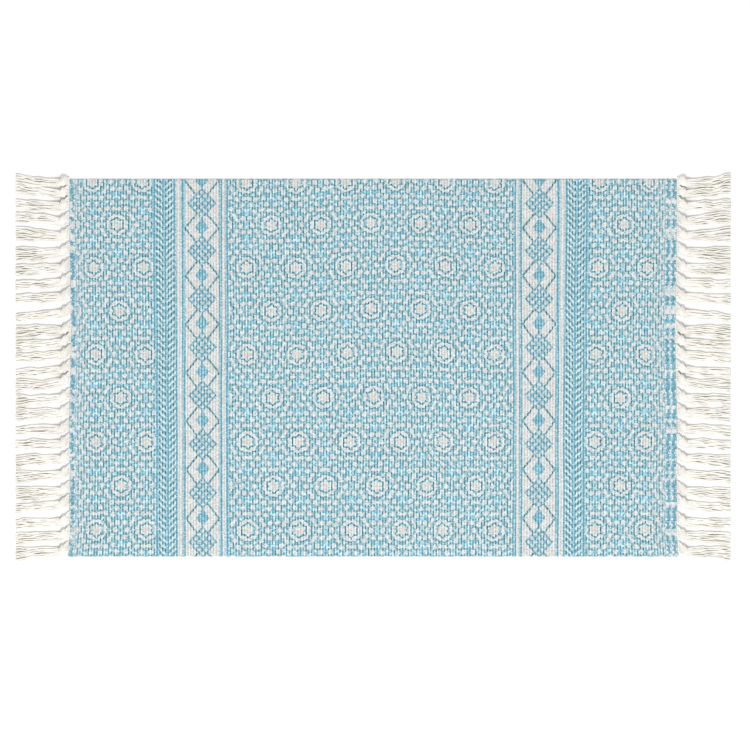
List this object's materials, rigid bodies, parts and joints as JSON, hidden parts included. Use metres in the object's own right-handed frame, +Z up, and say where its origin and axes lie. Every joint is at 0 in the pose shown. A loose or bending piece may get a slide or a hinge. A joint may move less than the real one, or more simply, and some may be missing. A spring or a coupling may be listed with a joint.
{
  "type": "flatweave runner",
  "caption": "Flat rectangular cotton floor runner with ribs across it and a row of knotted tassels along each short end.",
  "frame": {"origin": "on the floor under the middle of the cloth's flat underside", "axes": "+X along the runner's length, towards the end with two wide end cords; +Y across it, towards the far long edge; +Z up from the floor"},
  "size_m": [1.1386, 0.6149, 0.0115],
  "materials": {
    "rug_cotton": "ribbed cotton flatweave in light blue and cream, matte",
    "ivory_cotton": "twisted ivory cotton warp yarn, matte"
  },
  "bodies": {
    "root": {"rug": "rug_cotton", "tassel_left_01": "ivory_cotton", "tassel_left_02": "ivory_cotton", "tassel_left_03": "ivory_cotton", "tassel_left_04": "ivory_cotton", "tassel_left_05": "ivory_cotton", "tassel_left_06": "ivory_cotton", "tassel_left_07": "ivory_cotton", "tassel_left_08": "ivory_cotton", "tassel_left_09": "ivory_cotton", "tassel_left_10": "ivory_cotton", "tassel_left_11": "ivory_cotton", "tassel_left_12": "ivory_cotton", "tassel_left_13": "ivory_cotton", "tassel_left_14": "ivory_cotton", "tassel_left_15": "ivory_cotton", "tassel_left_16": "ivory_cotton", "tassel_left_17": "ivory_cotton", "tassel_left_18": "ivory_cotton", "tassel_left_19": "ivory_cotton", "tassel_left_20": "ivory_cotton", "tassel_left_21": "ivory_cotton", "tassel_left_22": "ivory_cotton", "tassel_left_23": "ivory_cotton", "tassel_left_24": "ivory_cotton", "tassel_left_25": "ivory_cotton", "tassel_left_26": "ivory_cotton", "tassel_right_01": "ivory_cotton", "tassel_right_02": "ivory_cotton", "tassel_right_03": "ivory_cotton", "tassel_right_04": "ivory_cotton", "tassel_right_05": "ivory_cotton", "tassel_right_06": "ivory_cotton", "tassel_right_07": "ivory_cotton", "tassel_right_08": "ivory_cotton", "tassel_right_09": "ivory_cotton", "tassel_right_10": "ivory_cotton", "tassel_right_11": "ivory_cotton", "tassel_right_12": "ivory_cotton", "tassel_right_13": "ivory_cotton", "tassel_right_14": "ivory_cotton", "tassel_right_15": "ivory_cotton", "tassel_right_16": "ivory_cotton", "tassel_right_17": "ivory_cotton", "tassel_right_18": "ivory_cotton", "tassel_right_19": "ivory_cotton", "tassel_right_20": "ivory_cotton", "tassel_right_21": "ivory_cotton", "tassel_right_22": "ivory_cotton", "tassel_right_23": "ivory_cotton", "tassel_right_24": "ivory_cotton", "tassel_right_25": "ivory_cotton", "tassel_right_26": "ivory_cotton"}
  },
  "joints": []
}
